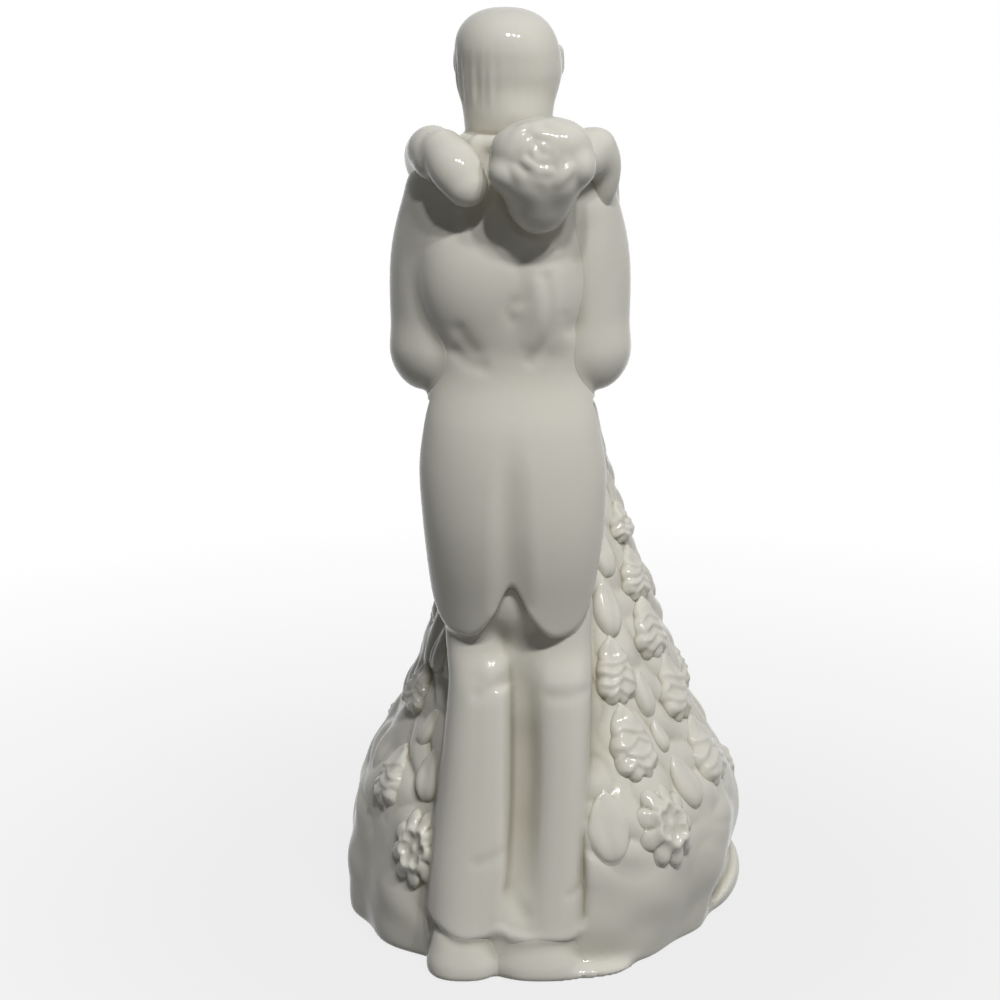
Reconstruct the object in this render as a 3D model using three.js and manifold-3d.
// Glazed porcelain wedding cake topper: a groom in a tailcoat holding a bride whose arms are round his neck.
// The figure is slip cast in pieces, which are stuck together with slip before firing, and the gown is
// covered with flowers and buds that are formed by hand and stuck on one at a time.
// Millimetres, +Z up. The groom's back faces -Y, the bride stands behind him at +Y and faces him.
// The origin is the middle of the foot plate, on the cake.
import * as THREE from 'three';
import { mergeVertices } from 'three/addons/utils/BufferGeometryUtils.js';
import Module from 'manifold-3d';

const wasm = await Module();
wasm.setup();

// General sizes
const JOINT_GAP = 0.3; // slip joint between two cast pieces
const WALL = 3.0; // thickness of the hollow castings
const GLAZE = { color: 0xd6d4ca, roughness: 0.15, metalness: 0.0 };
const BISQUE = { color: 0xcfcbbd, roughness: 0.7, metalness: 0.0 }; // unglazed underside

// Groom: heights are stacked, each one measured from the level below it
const GROOM_X = -6.8;
const SHOE_HEIGHT = 6.4;
const SHIN_LENGTH = 43.6;
const THIGH_LENGTH = 30;
const HIP_RISE = 8;
const WAIST_RISE = 15;
const CHEST_RISE = 20;
const SHOULDER_RISE = 10.5;
const COLLAR_RISE = 10.5;
const NECK_LENGTH = 6;
const HEAD_HEIGHT = 17;

const HEM_Z = SHOE_HEIGHT + JOINT_GAP;
const KNEE_Z = HEM_Z + SHIN_LENGTH;
const SEAT_Z = KNEE_Z + THIGH_LENGTH;
const HIP_Z = SEAT_Z + HIP_RISE;
const WAIST_Z = HIP_Z + WAIST_RISE;
const CHEST_Z = WAIST_Z + CHEST_RISE;
const SHOULDER_Z = CHEST_Z + SHOULDER_RISE;
const COLLAR_Z = SHOULDER_Z + COLLAR_RISE;
const CHIN_Z = COLLAR_Z + NECK_LENGTH - 2;

// Half widths (w), half depths (d) and middles (y) of the groom's body
const HEM = { y: -30.0, w: 7.0, d: 8.2 };
const CALF = { y: -26.4, w: 6.6, d: 6.9 };
const KNEE = { y: -23.2, w: 6.3, d: 5.8 };
const LEG_TOP = { y: -20.3, w: 6.4, d: 5.2 }; // under the edge of the tails
const THIGH = { y: -20.0, w: 6.4, d: 5.4 };
const LEG_SPREAD = 6.6; // from the body's middle to the middle of a leg
const HEM_SPREAD = 7.3;
const KNEE_SWAY = 1.7; // the knees stand to the +X side of the hips
const WEB = { w: 3.4, d: 3.2 }; // clay left between the legs
const TROUSER_TOP_DROP = 3; // trousers end this far under the waist

// The rest of the coat and the sleeves follow the half width of its chest
const CHEST_HALF = 16.6;
const COAT_TAIL = { y: -18.9, w: CHEST_HALF * 0.84, d: 9.3, square: 2.1 };
const COAT_SEAT = { y: -20.4, w: CHEST_HALF * 0.935, d: 10.7, square: 2.1 };
const COAT_HIP = { y: -19.9, w: CHEST_HALF * 0.976, d: 10.7, square: 2.05 };
const COAT_WAIST = { y: -17.4, w: CHEST_HALF * 0.84, d: 8.4 };
const COAT_RIBS = { y: -16.4, w: CHEST_HALF * 0.904, d: 9.2 };
const COAT_CHEST = { y: -15.4, w: CHEST_HALF, d: 9.8 };
const COAT_SHOULDER = { y: -13.6, w: CHEST_HALF * 0.988, d: 8.4 };
const COAT_YOKE = { y: -12.4, w: CHEST_HALF * 0.64, d: 7.4 };
const COAT_COLLAR = { y: -11.0, w: CHEST_HALF * 0.476, d: 7.4 };
const SEAT_EASE = 2.2; // room for the trousers inside the tails
const SEAT = { y: -20.4, w: COAT_SEAT.w - SEAT_EASE, d: 8.6 };
const HIP = { y: -19.4, w: COAT_SEAT.w - SEAT_EASE, d: 7.8 };
const TAIL_SWAY = 0.9; // the tails hang to the +X side of the shoulders
const TAIL_DROP = 43; // waist to the lowest point of the tails
const NOTCH_RISE = 9; // the parting between the tails stands this far above their lowest points
const TAIL_EDGE_RISE = 16; // outer edge of a tail, above its lowest point
const LOBE_SPREAD = 8.7; // from the body's middle to the lowest point of a tail
const FRONT_EDGE_Y = -19; // the tails end here and leave the trouser fronts bare

const ARM = { shoulder: 4.9, upper: 4.6, elbow: 4.7, fore: 4.1, wrist: 3.0 };
const GROOM_HAND = { w: 3.7, d: 1.9 };
const SHOULDER_SPREAD = CHEST_HALF - 3.0;
const UPPER_ARM_SPREAD = CHEST_HALF - 0.6;
const ELBOW_SPREAD = CHEST_HALF - 0.9;
const UPPER_ARM_LENGTH = 26.8;

const FORE_ARM = { left: 18.4, right: 9.4, y: -5, drop: 1 }; // where it passes the bride's waist
const GRASP = { wrist: 10.4, palm: 7.6, tip: 3.4, left: 1.4, right: -3.6 }; // his hands on her back

const GROOM_HEAD = { y: -6.4, w: 9.7, d: 10.5 };
const GROOM_NOSE = { w: 1.3, d: 1.6, h: 2.4 };

const SHOE = { w: 6.5, length: 12.5, heelY: -40.2 };

// Bride
const BRIDE_X = 0.2;
const SKIRT_HEIGHT = 94;
const SKIRT_WAIST_Y = 5; // the gown leans towards her waist
const HEM_SHIFT = { x: -2.8, y: -3.2 }; // the hem is pulled towards the groom's side
const SWELL_RADIUS = 36.2; // widest part of the gown, a little above the hem
const BODICE_RISE = 16; // waist to bust
const BUST_RISE = 8.5; // bust to shoulders
const BRIDE_NECK = 6.5;
const BRIDE_WAIST = { y: 5.0, w: 8.0, d: 7.2 };
const BRIDE_BUST = { y: 3.2, w: 9.8, d: 8.0 };
const BRIDE_SHOULDER = { y: 4.2, w: 10.0, d: 5.6 };
const BRIDE_THROAT = { y: 5.4, w: 3.7, d: 3.7 };
const BRIDE_HEAD = { w: 8.0, d: 9.2, h: 9.8 };
const BRIDE_HEAD_TILT = -16; // degrees, looking up
const BUN_RADIUS = 4.6;
const BRIDE_ARM = { shoulder: 3.5, upper: 3.7, fore: 4.1, wrist: 3.8 };
const BRIDE_HAND = { w: 4.0, d: 2.4 };
// Her arms: offsets to the side from her own middle, and from the groom's once they are past him
const REACH = { bendRise: 8.5, frontY: -7.5, lapY: -15, lapRise: 3.2, drop: 4 };
const RIGHT_REACH = { shoulder: 9.4, bend: 16.5, front: 13.8, lap: 13.4, wrist: 10.2, hand: 7.6, tip: 6.6 };
const RIGHT_HAND = { wristY: -21.2, y: -24.4, tipY: -25.4, tipDrop: 6.6 };
const LEFT_REACH = { shoulder: 8, bend: 8.6, front: 15, lap: 14.2, wrist: 11 };
const LEFT_HAND = { wristY: -20.6, x: 2.4, y: 4 }; // the hand is measured from the bouquet

const BUST_Z = SKIRT_HEIGHT + BODICE_RISE;
const BRIDE_SHOULDER_Z = BUST_Z + BUST_RISE;
const THROAT_Z = BRIDE_SHOULDER_Z + BRIDE_NECK;

// Bouquet, in the bride's left hand behind the groom's neck
const BOUQUET = { w: 9.0, d: 6.4, h: 7.8 };
const BOUQUET_SEAT = { x: 5.1, y: -27.2, rise: 7.6 }; // from the groom's middle and his shoulders
const BLOOM_RADIUS = 3.9;
const BLOOM_INSET = 1; // core under the blooms
const HOLDER = { top: 6.6, tip: 2.2, length: 8.2 };

// Foot
const PLATE_THICKNESS = 2.5;
const VENT_RADIUS = 4;
const VENT = { x: 9, y: 12 };
const TRAIN = { w: 4.2, d: 4.6, spread: 5.0, from: -20, to: 84 };

// Flowers and buds on the gown: angle round the gown in degrees (0 is +X, -90 faces the groom's back),
// height of the middle in percent of the gown's, half width and half length, and turn of the point
// from straight up
const SPRIG_GAP = 0.4;
const FLOWER_THICKNESS = 2.2;
const BUD_THICKNESS = 2.0;
const FLOWERS = [
  { angle: -25, rise: 77.4, w: 3.4, l: 3.8, turn: -8 },
  { angle: -27, rise: 68.0, w: 4.0, l: 5.0, turn: -8 },
  { angle: -30, rise: 58.2, w: 4.6, l: 5.6, turn: -6 },
  { angle: -25, rise: 46.6, w: 4.8, l: 6.2, turn: -6 },
  { angle: -20, rise: 34.2, w: 6.2, l: 6.6, turn: 0 },
  { angle: -59, rise: 53.0, w: 4.2, l: 6.0, turn: 0 },
  { angle: -58, rise: 40.4, w: 4.6, l: 6.8, turn: 6 },
  { angle: -53, rise: 26.2, w: 6.2, l: 7.8, turn: 8 },
  { angle: -159, rise: 45.7, w: 3.8, l: 4.8, turn: 0 },
  { angle: -151, rise: 30.9, w: 4.4, l: 5.8, turn: 6 },
  { angle: -131, rise: 21.3, w: 5.6, l: 7.2, turn: 0 },
];
const BUDS = [
  { angle: -51, rise: 73.2, w: 2.4, l: 4.2, turn: 0 },
  { angle: -56.5, rise: 63.8, w: 2.8, l: 5.0, turn: 0 },
  { angle: -46, rise: 47.9, w: 2.0, l: 4.2, turn: 4 },
  { angle: -44, rise: 40.0, w: 1.6, l: 3.0, turn: 8 },
  { angle: -39, rise: 31.5, w: 3.0, l: 5.0, turn: 12 },
  { angle: -72, rise: 27.7, w: 3.6, l: 6.0, turn: 0 },
  { angle: -133, rise: 34.0, w: 3.2, l: 4.8, turn: 4 },
  { angle: -151, rise: 54.3, w: 2.4, l: 4.4, turn: 0 },
  { angle: -142, rise: 41.0, w: 1.8, l: 3.4, turn: -10 },
];
// On the bride's side the sprigs stand in columns
const COLUMN = { first: 20, step: 26, count: 6 };
for (let i = 0; i < COLUMN.count; i++) {
  const angle = COLUMN.first + COLUMN.step * i;
  const odd = i % 2;
  FLOWERS.push({ angle, rise: odd ? 33 : 21.3, w: 4.8, l: 6.4, turn: 0 });
  FLOWERS.push({ angle, rise: odd ? 56.4 : 44.7, w: 4.0, l: 5.8, turn: 0 });
  BUDS.push({ angle, rise: odd ? 72.3 : 62.8, w: 2.6, l: 4.8, turn: 0 });
  if (odd) BUDS.push({ angle, rise: 16, w: 3.0, l: 5.0, turn: 0 });
}

// Facets
const BODY_SIDES = 22;
const LIMB_SIDES = 10;
const GOWN_SIDES = 44;
const STEPS = 2; // rings between two neighbouring sections

const ORIGIN = new THREE.Vector2();
const V = (x, y, z) => new THREE.Vector3(x, y, z);
const radians = THREE.MathUtils.degToRad;
const round = (r) => ({ w: r, d: r });

// Closed skin over a row of rings, with a fan over each end
function skin(rings) {
  const sides = rings[0].length;
  const points = rings.flat();
  const triangles = [];
  for (let r = 0; r + 1 < rings.length; r++) {
    for (let s = 0; s < sides; s++) {
      const here = r * sides + s;
      const next = r * sides + ((s + 1) % sides);
      triangles.push(here, next, next + sides, here, next + sides, here + sides);
    }
  }
  const middle = (ring) => ring.reduce((sum, p) => sum.add(p), V(0, 0, 0)).divideScalar(sides);
  const low = points.push(middle(rings[0])) - 1;
  const high = points.push(middle(rings.at(-1))) - 1;
  const top = (rings.length - 1) * sides;
  for (let s = 0; s < sides; s++) {
    const next = (s + 1) % sides;
    triangles.push(low, next, s, high, top + s, top + next);
  }
  return new THREE.BufferGeometry().setFromPoints(points).setIndex(triangles);
}

// Ring of half width w along side and half depth d along front; a square above 2 flattens its sides
function ring(centre, side, front, w, d, square, sides) {
  const points = [];
  for (let s = 0; s < sides; s++) {
    const a = (s / sides) * 2 * Math.PI;
    const u = Math.sign(Math.cos(a)) * Math.abs(Math.cos(a)) ** (2 / square) * w;
    const v = Math.sign(Math.sin(a)) * Math.abs(Math.sin(a)) ** (2 / square) * d;
    points.push(centre.clone().addScaledVector(side, u).addScaledVector(front, v));
  }
  return points;
}

// Sections blended by a smooth curve: [{ at, w, d, square }] with some steps between each two
function blend(sections, steps) {
  const places = new THREE.CatmullRomCurve3(sections.map((s) => s.at));
  const sizes = new THREE.CatmullRomCurve3(sections.map((s) => V(s.w, s.d, s.square ?? 2)));
  const count = (sections.length - 1) * steps;
  return Array.from({ length: count + 1 }, (_, i) => {
    const size = sizes.getPoint(i / count);
    const at = places.getPoint(i / count);
    return { at, along: places.getTangent(i / count), w: size.x, d: size.y, square: size.z };
  });
}

// Standing form of level sections, grown outwards by grow
function standing(sections, { grow = 0, sides = BODY_SIDES, steps = STEPS } = {}) {
  const rows = blend(sections, steps);
  rows[0].at.z -= grow;
  rows.at(-1).at.z += grow;
  return skin(rows.map((s) => ring(s.at, V(1, 0, 0), V(0, 1, 0), s.w + grow, s.d + grow, s.square, sides)));
}

// Limb along a smooth curve with round ends; flat is the way in which d is measured
function limb(sections, flat, { grow = 0, sides = LIMB_SIDES, steps = STEPS } = {}) {
  const rings = [];
  const rows = blend(sections, steps);
  const add = (row, shift, scale) => {
    const side = row.along.clone().cross(flat).normalize();
    const front = side.clone().cross(row.along).normalize();
    const centre = row.at.clone().addScaledVector(row.along, shift);
    rings.push(ring(centre, front, side, (row.d + grow) * scale, (row.w + grow) * scale, row.square, sides));
  };
  const dome = [0.95, 0.6];
  for (const t of dome) add(rows[0], -t * Math.min(rows[0].w, rows[0].d), Math.sqrt(1 - t * t));
  for (const row of rows) add(row, 0, 1);
  const last = rows.at(-1);
  for (const t of dome.toReversed()) add(last, t * Math.min(last.w, last.d), Math.sqrt(1 - t * t));
  return skin(rings);
}

// Geometry to solid and back
function solid(geometry) {
  const open = geometry.index ? geometry.toNonIndexed() : geometry;
  const bare = new THREE.BufferGeometry().setAttribute('position', open.getAttribute('position'));
  const merged = mergeVertices(bare, 1e-4);
  return new wasm.Manifold(new wasm.Mesh({
    numProp: 3,
    vertProperties: merged.attributes.position.array,
    triVerts: Uint32Array.from(merged.index.array),
  }));
}

function geometryOf(shape) {
  const { vertProperties, triVerts } = shape.getMesh();
  const geometry = new THREE.BufferGeometry();
  geometry.setAttribute('position', new THREE.BufferAttribute(vertProperties, 3));
  return geometry.setIndex(new THREE.BufferAttribute(triVerts, 1));
}

function ball(x, y, z, w, d, h, [across, down] = [14, 10]) {
  const sphere = new THREE.SphereGeometry(1, across, down).scale(w, h, d);
  return solid(sphere.rotateX(Math.PI / 2).translate(x, y, z));
}

const topper = new THREE.Group();
const [groom, bride, gown, flowers] = Array.from({ length: 4 }, () => new THREE.Group());
topper.add(groom, bride, gown);
bride.add(flowers);

function place(group, name, shape, look = GLAZE) {
  const mesh = new THREE.Mesh(geometryOf(shape), new THREE.MeshStandardMaterial(look));
  mesh.name = name;
  group.add(mesh);
}

// Trousers: two legs, the clay web between them and the seat inside the coat
function trousers(grow = 0) {
  const kneeX = GROOM_X + KNEE_SWAY;
  const hemX = GROOM_X - 0.4;
  const thighZ = SEAT_Z - THIGH_LENGTH / 4;
  const calfZ = HEM_Z + SHIN_LENGTH / 2;
  const legTopX = (GROOM_X + kneeX) / 2;
  const legTopZ = WAIST_Z - TAIL_DROP;
  const topZ = WAIST_Z - TROUSER_TOP_DROP;
  const seat = standing([
    { at: V(GROOM_X + KNEE_SWAY / 2, THIGH.y, SEAT_Z - THIGH_LENGTH * 0.55), w: 12.6, d: THIGH.d + 0.2 },
    { at: V(GROOM_X, SEAT.y, SEAT_Z), w: SEAT.w, d: SEAT.d },
    { at: V(GROOM_X, HIP.y, HIP_Z), w: HIP.w, d: HIP.d },
    { at: V(GROOM_X, COAT_WAIST.y, topZ), w: COAT_WAIST.w - WALL, d: COAT_WAIST.d - WALL / 2 },
  ], { grow });
  const web = standing([
    { at: V(hemX, HEM.y, HEM_Z), ...WEB },
    { at: V(kneeX, KNEE.y, KNEE_Z), ...WEB },
    { at: V(GROOM_X, THIGH.y, thighZ), ...WEB },
  ], { grow, sides: 8 });
  let shape = solid(seat).add(solid(web));
  for (const s of [-1, 1]) {
    const leg = standing([
      { at: V(hemX + s * HEM_SPREAD, HEM.y, HEM_Z), w: HEM.w, d: HEM.d },
      { at: V((hemX + kneeX) / 2 + s * LEG_SPREAD, CALF.y, calfZ), w: CALF.w, d: CALF.d },
      { at: V(kneeX + s * LEG_SPREAD, KNEE.y, KNEE_Z), w: KNEE.w, d: KNEE.d },
      { at: V(legTopX + s * LEG_SPREAD, LEG_TOP.y, legTopZ), w: LEG_TOP.w, d: LEG_TOP.d },
      { at: V(GROOM_X + s * LEG_SPREAD, THIGH.y, thighZ), w: THIGH.w, d: THIGH.d },
    ], { grow, sides: 18 });
    shape = shape.add(solid(leg));
  }
  return shape;
}

function shoe(s, grow = 0) {
  const hemX = GROOM_X - 0.4;
  const middleY = SHOE.heelY + SHOE.length / 2;
  const x = hemX + s * (HEM_SPREAD - 0.3);
  const half = SHOE.length / 2;
  return solid(standing([
    { at: V(x, middleY, 0), w: SHOE.w - 0.4, d: half - 0.4, square: 2.6 },
    { at: V(x, middleY, SHOE_HEIGHT * 0.45), w: SHOE.w, d: half, square: 2.6 },
    { at: V(x, middleY, SHOE_HEIGHT), w: SHOE.w - 1.2, d: half - 1.2, square: 2.4 },
  ], { grow, sides: 18 }));
}

// Tailcoat: body and tails in one casting, hollow above the trousers
const COAT_HEM_Z = WAIST_Z - TAIL_DROP;
function coatBody(grow = 0) {
  const at = ({ y, ...form }, z, sway = 0) => ({ at: V(GROOM_X + sway, y, z), ...form });
  return solid(standing([
    at(COAT_TAIL, COAT_HEM_Z - 2, TAIL_SWAY),
    at(COAT_SEAT, SEAT_Z - HIP_RISE, TAIL_SWAY),
    at(COAT_HIP, HIP_Z, TAIL_SWAY / 2),
    at(COAT_WAIST, WAIST_Z),
    at(COAT_RIBS, WAIST_Z + CHEST_RISE / 2),
    at(COAT_CHEST, CHEST_Z),
    at(COAT_SHOULDER, SHOULDER_Z),
    at(COAT_YOKE, SHOULDER_Z + COLLAR_RISE * 0.45),
    at(COAT_COLLAR, COLLAR_Z),
  ], { grow }));
}

function tailCut() {
  const reach = COAT_HIP.w * 2;
  const low = COAT_HEM_Z;
  const outline = new THREE.Shape();
  outline.moveTo(-reach, low - reach);
  outline.lineTo(reach, low - reach);
  outline.lineTo(reach, low + TAIL_EDGE_RISE);
  outline.lineTo(COAT_SEAT.w, low + TAIL_EDGE_RISE);
  outline.quadraticCurveTo(COAT_SEAT.w - 1.5, low, LOBE_SPREAD, low);
  outline.quadraticCurveTo(LOBE_SPREAD / 2, low, 0, low + NOTCH_RISE);
  outline.quadraticCurveTo(-LOBE_SPREAD / 2, low, -LOBE_SPREAD, low);
  outline.quadraticCurveTo(-COAT_SEAT.w + 1.5, low, -COAT_SEAT.w, low + TAIL_EDGE_RISE);
  outline.lineTo(-reach, low + TAIL_EDGE_RISE);
  outline.closePath();
  const cut = new THREE.ExtrudeGeometry(outline, { depth: 4 * reach, bevelEnabled: false, curveSegments: 8 });
  return solid(cut.rotateX(Math.PI / 2).translate(GROOM_X + TAIL_SWAY, 2 * reach, 0));
}

function frontCut() {
  const height = WAIST_Z - TROUSER_TOP_DROP - COAT_HEM_Z + 10;
  const reach = COAT_HIP.w * 4;
  const block = new THREE.BoxGeometry(reach, reach, height);
  const top = WAIST_Z - TROUSER_TOP_DROP - 1;
  return solid(block.translate(GROOM_X, FRONT_EDGE_Y + reach / 2, top - height / 2));
}

function coatHollow() {
  const within = (section, z) => ({ at: V(GROOM_X, section.y, z), w: section.w - WALL, d: section.d - WALL });
  return solid(standing([
    within(COAT_WAIST, WAIST_Z - TROUSER_TOP_DROP - 1),
    within(COAT_RIBS, WAIST_Z + CHEST_RISE / 2),
    within(COAT_CHEST, CHEST_Z),
    within(COAT_SHOULDER, SHOULDER_Z - WALL),
  ], { sides: 18 }));
}

// Groom's sleeves and hands; s is -1 for his left arm, which is at -X
function groomArm(s, grow = 0) {
  const x = (spread) => GROOM_X + s * spread;
  const elbowZ = SHOULDER_Z - UPPER_ARM_LENGTH;
  const handZ = elbowZ + (s < 0 ? GRASP.left : GRASP.right);
  const foreX = s < 0 ? -FORE_ARM.left : FORE_ARM.right;
  const backY = BRIDE_WAIST.y + BRIDE_WAIST.d;
  const upperZ = SHOULDER_Z - UPPER_ARM_LENGTH * 0.42;
  const tip = { w: GROOM_HAND.w - 0.9, d: GROOM_HAND.d - 0.4 };
  return solid(limb([
    { at: V(x(SHOULDER_SPREAD), COAT_SHOULDER.y - 0.4, SHOULDER_Z - 0.5), ...round(ARM.shoulder) },
    { at: V(x(UPPER_ARM_SPREAD), COAT_CHEST.y + 0.4, upperZ), ...round(ARM.upper) },
    { at: V(x(ELBOW_SPREAD), COAT_WAIST.y + 0.2, elbowZ), ...round(ARM.elbow) },
    { at: V(BRIDE_X + foreX, FORE_ARM.y, elbowZ - FORE_ARM.drop), ...round(ARM.fore) },
    { at: V(BRIDE_X + s * GRASP.wrist, backY - ARM.wrist - 1, handZ), ...round(ARM.wrist) },
    { at: V(BRIDE_X + s * GRASP.palm, backY + GROOM_HAND.d - 0.3, handZ), ...GROOM_HAND },
    { at: V(BRIDE_X + s * GRASP.tip, backY + 3.2, handZ - s * 0.6), ...tip },
  ], V(-s * 0.5, -1, 0).normalize(), { grow }));
}

// Groom's head and neck in one casting; all but the heights in shares of the head's half sizes
function groomHead(grow = 0) {
  const { w, d } = GROOM_HEAD;
  const x = GROOM_X - 0.4;
  const at = (z, back, wide, deep, lean = 0) => (
    { at: V(x - lean * w, GROOM_HEAD.y - back * d, z), w: wide * w, d: deep * d });
  const z = (share) => CHIN_Z + HEAD_HEIGHT * share;
  const head = solid(standing([
    at(COLLAR_Z - NECK_LENGTH / 2, 0.4, 0.69, 0.61),
    at(COLLAR_Z + NECK_LENGTH * 0.4, 0.324, 0.722, 0.667),
    at(z(0.08), 0.114, 0.794, 0.857),
    at(z(0.26), 0.038, 0.907, 0.952),
    at(z(0.5), 0, 1, 1),
    at(z(0.68), 0, 0.99, 0.971),
    at(z(0.88), 0.029, 0.711, 0.724, 0.072),
    at(z(1), 0.048, 0.247, 0.267, 0.103),
  ], { grow, sides: 20 }));
  const nose = [GROOM_NOSE.w + grow, GROOM_NOSE.d + grow, GROOM_NOSE.h + grow];
  return head.add(ball(x, GROOM_HEAD.y + d * 0.952, z(0.38), ...nose, [8, 6]));
}

// Bride
function bodice(grow = 0) {
  const at = (section, z) => ({ at: V(BRIDE_X - 0.6, section.y, z), w: section.w, d: section.d });
  return solid(standing([
    at(BRIDE_WAIST, SKIRT_HEIGHT - 2),
    at({ ...BRIDE_WAIST, w: BRIDE_WAIST.w + 0.4 }, SKIRT_HEIGHT + BODICE_RISE / 2),
    at(BRIDE_BUST, BUST_Z),
    at(BRIDE_SHOULDER, BRIDE_SHOULDER_Z - 2),
    at({ ...BRIDE_SHOULDER, w: 6.4, d: 4.4 }, BRIDE_SHOULDER_Z + 1.6),
    at(BRIDE_THROAT, BRIDE_SHOULDER_Z + BRIDE_NECK * 0.45),
    at({ ...BRIDE_THROAT, y: BRIDE_THROAT.y + 0.8 }, THROAT_Z + 2),
  ], { grow, sides: 18 }));
}

function brideHead(grow = 0) {
  const { w, d, h } = BRIDE_HEAD;
  const at = (y, z, half, deep) => ({ at: V(0, y, z * h), w: half * w, d: deep * d });
  const skull = solid(standing([
    at(-3.4, -0.98, 0.36, 0.34),
    at(-1.6, -0.66, 0.76, 0.76),
    at(-0.4, -0.2, 0.95, 0.97),
    at(0, 0.3, 1, 1),
    at(0.3, 0.76, 0.76, 0.78),
    at(0.4, 1, 0.24, 0.26),
  ], { grow, sides: 18 }));
  const nose = ball(0, -d - 0.2, -0.22 * h, 1.0 + grow, 1.2 + grow, 1.8 + grow, [8, 6]);
  const bun = ball(0, d + 0.6, 0.2 * h, BUN_RADIUS + grow, BUN_RADIUS + grow, BUN_RADIUS + grow, [10, 8]);
  const seat = V(BRIDE_X - 2.2, BRIDE_THROAT.y + 2.4, THROAT_Z + 7.6);
  return skull.add(nose).add(bun).rotate([BRIDE_HEAD_TILT, 0, 0]).translate(seat.toArray());
}

// Bride's arms, over the groom's shoulders; her right arm lies on his back, her left holds the bouquet
function brideRightArm(grow = 0) {
  const lapZ = SHOULDER_Z + ARM.shoulder + REACH.lapRise;
  const shoulderAt = V(BRIDE_X - RIGHT_REACH.shoulder, BRIDE_SHOULDER.y - 0.6, BRIDE_SHOULDER_Z - 2);
  const tip = { w: BRIDE_HAND.w - 0.9, d: BRIDE_HAND.d - 0.6 };
  const groomSide = (side) => GROOM_X - side;
  const reach = RIGHT_REACH;
  return solid(limb([
    { at: shoulderAt, ...round(BRIDE_ARM.shoulder) },
    { at: V(BRIDE_X - reach.bend, 0.2, BRIDE_SHOULDER_Z + REACH.bendRise), ...round(BRIDE_ARM.upper) },
    { at: V(groomSide(reach.front), REACH.frontY, lapZ - REACH.drop), ...round(BRIDE_ARM.fore) },
    { at: V(groomSide(reach.lap), REACH.lapY, lapZ), ...round(BRIDE_ARM.fore) },
    { at: V(groomSide(reach.wrist), RIGHT_HAND.wristY, lapZ - 0.6), ...round(BRIDE_ARM.wrist) },
    { at: V(groomSide(reach.hand), RIGHT_HAND.y, lapZ - REACH.drop), ...BRIDE_HAND },
    { at: V(groomSide(reach.tip), RIGHT_HAND.tipY, lapZ - RIGHT_HAND.tipDrop), ...tip },
  ], V(0, -1, 0.25).normalize(), { grow }));
}

const BOUQUET_AT = V(GROOM_X + BOUQUET_SEAT.x, BOUQUET_SEAT.y, SHOULDER_Z + BOUQUET_SEAT.rise);
function brideLeftArm(grow = 0) {
  const lapZ = SHOULDER_Z + ARM.shoulder + REACH.lapRise - 0.2;
  const shoulderAt = V(BRIDE_X + LEFT_REACH.shoulder, BRIDE_SHOULDER.y - 0.6, BRIDE_SHOULDER_Z - 2);
  const reach = LEFT_REACH;
  return solid(limb([
    { at: shoulderAt, ...round(BRIDE_ARM.shoulder) },
    { at: V(BRIDE_X + reach.bend, -0.4, BRIDE_SHOULDER_Z + REACH.bendRise), ...round(BRIDE_ARM.upper) },
    { at: V(GROOM_X + reach.front, REACH.frontY, lapZ - REACH.drop), ...round(BRIDE_ARM.fore) },
    { at: V(GROOM_X + reach.lap, REACH.lapY, lapZ), ...round(BRIDE_ARM.fore) },
    { at: V(GROOM_X + reach.wrist, LEFT_HAND.wristY, lapZ), ...round(BRIDE_ARM.wrist) },
    { at: V(BOUQUET_AT.x + LEFT_HAND.x, BOUQUET_AT.y + LEFT_HAND.y, BOUQUET_AT.z), ...BRIDE_HAND },
  ], V(0, -1, 0.25).normalize(), { grow }));
}

// Bouquet: a dome of blooms round a core, above the holder that her hand is closed round
function bouquet(grow = 0) {
  const { x, y, z } = BOUQUET_AT;
  const inset = 0.62;
  const core = grow - BLOOM_INSET;
  let shape = ball(x, y, z, BOUQUET.w + core, BOUQUET.d + core, BOUQUET.h + core);
  const bloom = (u, v, h) => {
    const r = BLOOM_RADIUS + grow;
    shape = shape.add(ball(x + u, y + v, z + h, r, r * 0.9, r, [8, 6]));
  };
  bloom(0, -BOUQUET.d + BLOOM_RADIUS * 0.67, BLOOM_RADIUS * 0.15);
  const petals = 7;
  for (let i = 0; i < petals; i++) {
    const a = (i / petals) * 2 * Math.PI + Math.PI / 2;
    bloom(Math.cos(a) * BOUQUET.w * inset, -BLOOM_RADIUS * 0.36, Math.sin(a) * BOUQUET.h * 0.54);
  }
  return shape;
}

function holder(grow = 0) {
  const { x, y, z } = BOUQUET_AT;
  const topZ = z - BOUQUET.h * 0.45;
  const middle = { w: (HOLDER.top + HOLDER.tip) / 2, d: HOLDER.tip + 0.8 };
  return solid(standing([
    { at: V(x - 0.8, y - 2.2, topZ - HOLDER.length), ...round(HOLDER.tip) },
    { at: V(x - 0.5, y - 1.8, topZ - HOLDER.length * 0.6), ...middle },
    { at: V(x, y - 1, topZ), w: HOLDER.top, d: HOLDER.top - 0.8 },
  ], { grow, sides: 14 }));
}

// Gown: a bell whose radius follows the height, with soft folds that deepen towards the hem
const GOWN_OUTLINE = new THREE.SplineCurve([
  // share of the widest radius, share of the height
  [0.928, 0],
  [0.956, 0.05],
  [1, 0.13],
  [0.983, 0.22],
  [0.884, 0.31],
  [0.746, 0.405],
  [0.646, 0.5],
  [0.552, 0.6],
  [0.436, 0.715],
  [0.304, 0.885],
  [0.238, 1],
].map(([r, h]) => new THREE.Vector2(r * SWELL_RADIUS, h * SKIRT_HEIGHT)));
const OUTLINE_POINTS = GOWN_OUTLINE.getPoints(200);
const FOLD_DEPTH = 0.7;
const FOLD_COUNT = 11;

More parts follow.
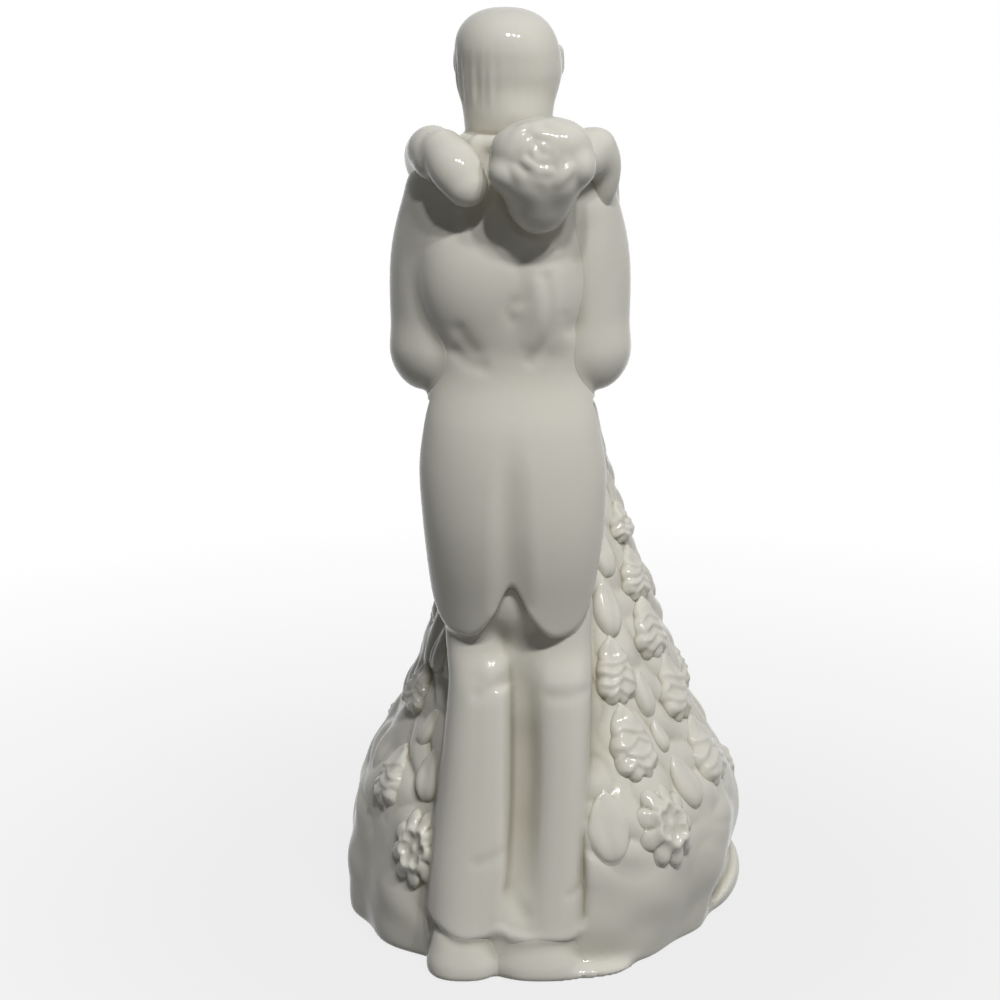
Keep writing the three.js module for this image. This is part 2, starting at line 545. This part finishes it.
function gownRadius(z) {
  const above = OUTLINE_POINTS.findIndex((p) => p.y >= z);
  if (above === 0) return OUTLINE_POINTS[0].x;
  if (above < 0) return OUTLINE_POINTS.at(-1).x;
  const [low, high] = [OUTLINE_POINTS[above - 1], OUTLINE_POINTS[above]];
  return THREE.MathUtils.mapLinear(z, low.y, high.y, low.x, high.x);
}

function gownPoint(angle, z, grow = 0) {
  const share = THREE.MathUtils.clamp(z / SKIRT_HEIGHT, 0, 1);
  const fold = FOLD_DEPTH * (1 - share) ** 1.5 * Math.cos(FOLD_COUNT * angle + 2 * Math.sin(2 * angle));
  const r = gownRadius(z) + fold + grow;
  const hem = 1 - THREE.MathUtils.smoothstep(share, 0, 0.22);
  const x = BRIDE_X + HEM_SHIFT.x * hem;
  const y = HEM_SHIFT.y * hem + SKIRT_WAIST_Y * THREE.MathUtils.smoothstep(share, 0.2, 1);
  return V(x + r * Math.cos(angle), y + r * Math.sin(angle), z);
}

function gownNormal(angle, z) {
  const step = 0.05;
  const round = gownPoint(angle + step, z).sub(gownPoint(angle - step, z));
  const up = gownPoint(angle, z + 0.5).sub(gownPoint(angle, Math.max(z - 0.5, 0)));
  return round.cross(up).normalize();
}

function gownBell(grow = 0, low = 0, high = SKIRT_HEIGHT, rows = 14, sides = GOWN_SIDES) {
  const rings = [];
  for (let i = 0; i <= rows; i++) {
    const z = low + ((high - low) * i) / rows;
    const level = Math.max(z, 0);
    const turn = (s) => (s / sides) * 2 * Math.PI;
    rings.push(Array.from({ length: sides }, (_, s) => gownPoint(turn(s), level, grow).setZ(z)));
  }
  return solid(skin(rings));
}

// Niche in the gown's back where the groom stands
function niche(grow = 0) {
  const far = -70;
  const at = (x, z, half, y) => ({ at: V(x, (far + y) / 2, z), w: half, d: (y - far) / 2, square: 9 });
  const hemHalf = HEM_SPREAD + HEM.w + JOINT_GAP;
  const kneeHalf = LEG_SPREAD + KNEE.w + JOINT_GAP;
  return solid(standing([
    at(GROOM_X - 0.4, -1, hemHalf, HEM.y),
    at(GROOM_X - 0.4, HEM_Z, hemHalf, HEM.y),
    at(GROOM_X + KNEE_SWAY, KNEE_Z, kneeHalf, KNEE.y),
    at(GROOM_X + KNEE_SWAY / 2, KNEE_Z + 16, kneeHalf, KNEE.y + 1),
  ], { grow, sides: 24 }));
}

// Flower or bud shaped over the gown: outline(a) gives the edge, profile the [share of edge, height] rings
function applied({ angle, rise }, outline, profile, sides) {
  const seat = radians(angle);
  const z = (SKIRT_HEIGHT * rise) / 100;
  const radius = gownRadius(z);
  const slope = gownPoint(seat, z + 1).sub(gownPoint(seat, Math.max(z - 1, 0)));
  const steepness = slope.z / slope.length();
  const rings = profile.map(([share, height]) => Array.from({ length: sides }, (_, s) => {
    const edge = outline((s / sides) * 2 * Math.PI).multiplyScalar(share);
    const around = seat + edge.x / radius;
    const level = z + edge.y * steepness;
    const point = gownPoint(around, level);
    return point.addScaledVector(gownNormal(around, level), SPRIG_GAP + height);
  }));
  return solid(skin(rings));
}

// Flower with a scalloped rim that is drawn out to a point at the top, hollow in the middle
function flower(spot) {
  const scallops = 5;
  const turn = radians(spot.turn);
  const edge = (a) => {
    const r = 0.93 + 0.07 * Math.sin(scallops * a);
    const point = new THREE.Vector2(spot.w * r * Math.cos(a), spot.l * r * Math.sin(a));
    return point.rotateAround(ORIGIN, turn);
  };
  const t = FLOWER_THICKNESS;
  return applied(spot, edge, [[0.55, 0], [1, 0.35 * t], [0.7, t], [0.3, 0.6 * t]], scallops * 3);
}

// Smooth bud, drawn out to a point at the top
function bud(spot) {
  const turn = radians(spot.turn);
  const edge = (a) => {
    const taper = Math.sin(a) > 0 ? 1 - 0.45 * Math.sin(a) ** 2 : 1;
    const point = new THREE.Vector2(spot.w * taper * Math.cos(a), spot.l * Math.sin(a));
    return point.rotateAround(ORIGIN, turn);
  };
  const t = BUD_THICKNESS;
  return applied(spot, edge, [[0.55, 0], [1, 0.35 * t], [0.55, t]], 10);
}

function train() {
  const count = 7;
  const sections = Array.from({ length: count }, (_, i) => {
    const share = i / (count - 1);
    const swell = 0.35 + 0.65 * Math.sin(Math.PI * share) ** 0.7;
    const spread = TRAIN.spread * (2 * swell - 1.2);
    const point = gownPoint(radians(TRAIN.from + (TRAIN.to - TRAIN.from) * share), 2, spread);
    return { at: point.setZ(TRAIN.d * swell), w: TRAIN.w * swell, d: TRAIN.d * swell };
  });
  return solid(limb(sections, V(0, 0, 1), { steps: 1 }));
}

// Assembly: each piece is cut back from the pieces that it is stuck on
const gap = JOINT_GAP;
const groomLegs = trousers();
const tailcoat = coatBody().subtract(tailCut()).subtract(frontCut());
const coat = tailcoat.subtract(trousers(gap)).subtract(coatHollow());
const legCut = trousers(gap).add(niche(gap)).add(shoe(-1, gap)).add(shoe(1, gap));
const coatCut = coatBody(gap).subtract(frontCut());

place(groom, 'groom_trousers', groomLegs);
place(groom, 'groom_left_shoe', shoe(-1));
place(groom, 'groom_right_shoe', shoe(1).subtract(shoe(-1, gap)));
place(groom, 'groom_tailcoat', coat);
place(groom, 'groom_head', groomHead().subtract(coatBody(gap)));

const bodiceCut = bodice(gap);
const gownCut = gownBell(gap);
const leftArm = groomArm(-1).subtract(coatBody(gap)).subtract(bodiceCut).subtract(gownCut);
const rightArm = groomArm(1).subtract(coatBody(gap)).subtract(bodiceCut).subtract(gownCut);
place(groom, 'groom_left_arm', leftArm);
place(groom, 'groom_right_arm', rightArm);

const groomCut = coatBody(gap).add(groomArm(-1, gap)).add(groomArm(1, gap)).add(groomHead(gap));
place(bride, 'bride_bodice', bodice().subtract(gownCut).subtract(coatBody(gap)));
place(bride, 'bride_head', brideHead().subtract(bodiceCut).subtract(groomCut));
const reachCut = groomCut.add(bodiceCut).add(brideHead(gap));
place(bride, 'bride_right_arm', brideRightArm().subtract(reachCut));
const bloomCut = coatBody(gap).add(brideRightArm(gap)).add(groomHead(gap));
place(flowers, 'bouquet_blooms', bouquet().subtract(bloomCut));
place(flowers, 'bouquet_holder', holder().subtract(bouquet(gap)).subtract(coatBody(gap)));
const holdCut = reachCut.add(bouquet(gap)).add(holder(gap));
place(bride, 'bride_left_arm', brideLeftArm().subtract(holdCut));

// Hollow gown, closed underneath by the foot plate with its vent
function gownHollow(wall) {
  const bell = gownBell(-wall, -1, SKIRT_HEIGHT * 0.82, 7, 26);
  return bell.subtract(trousers(wall)).subtract(niche(wall));
}

function footPlate() {
  const radius = SWELL_RADIUS + WALL;
  const disc = new THREE.LatheGeometry([
    new THREE.Vector2(0, 0),
    new THREE.Vector2(radius, 0),
    new THREE.Vector2(radius, PLATE_THICKNESS),
    new THREE.Vector2(0, PLATE_THICKNESS),
  ], 48).rotateX(Math.PI / 2);
  const vent = new THREE.CylinderGeometry(VENT_RADIUS, VENT_RADIUS, 4 * PLATE_THICKNESS, 20);
  vent.rotateX(Math.PI / 2).translate(VENT.x, VENT.y, 0);
  return solid(disc).intersect(gownHollow(WALL + gap)).subtract(solid(vent));
}

place(gown, 'gown_skirt', gownBell().subtract(legCut).subtract(coatCut).subtract(gownHollow(WALL)));
place(gown, 'foot_plate', footPlate(), BISQUE);
place(gown, 'gown_train', train().subtract(gownCut));

const number = (i) => String(i + 1).padStart(2, '0');
const groomSide = legCut.add(coatCut);
FLOWERS.forEach((spot, i) => place(gown, `gown_flower_${number(i)}`, flower(spot).subtract(groomSide)));
BUDS.forEach((spot, i) => place(gown, `gown_bud_${number(i)}`, bud(spot).subtract(groomSide)));

export default topper;
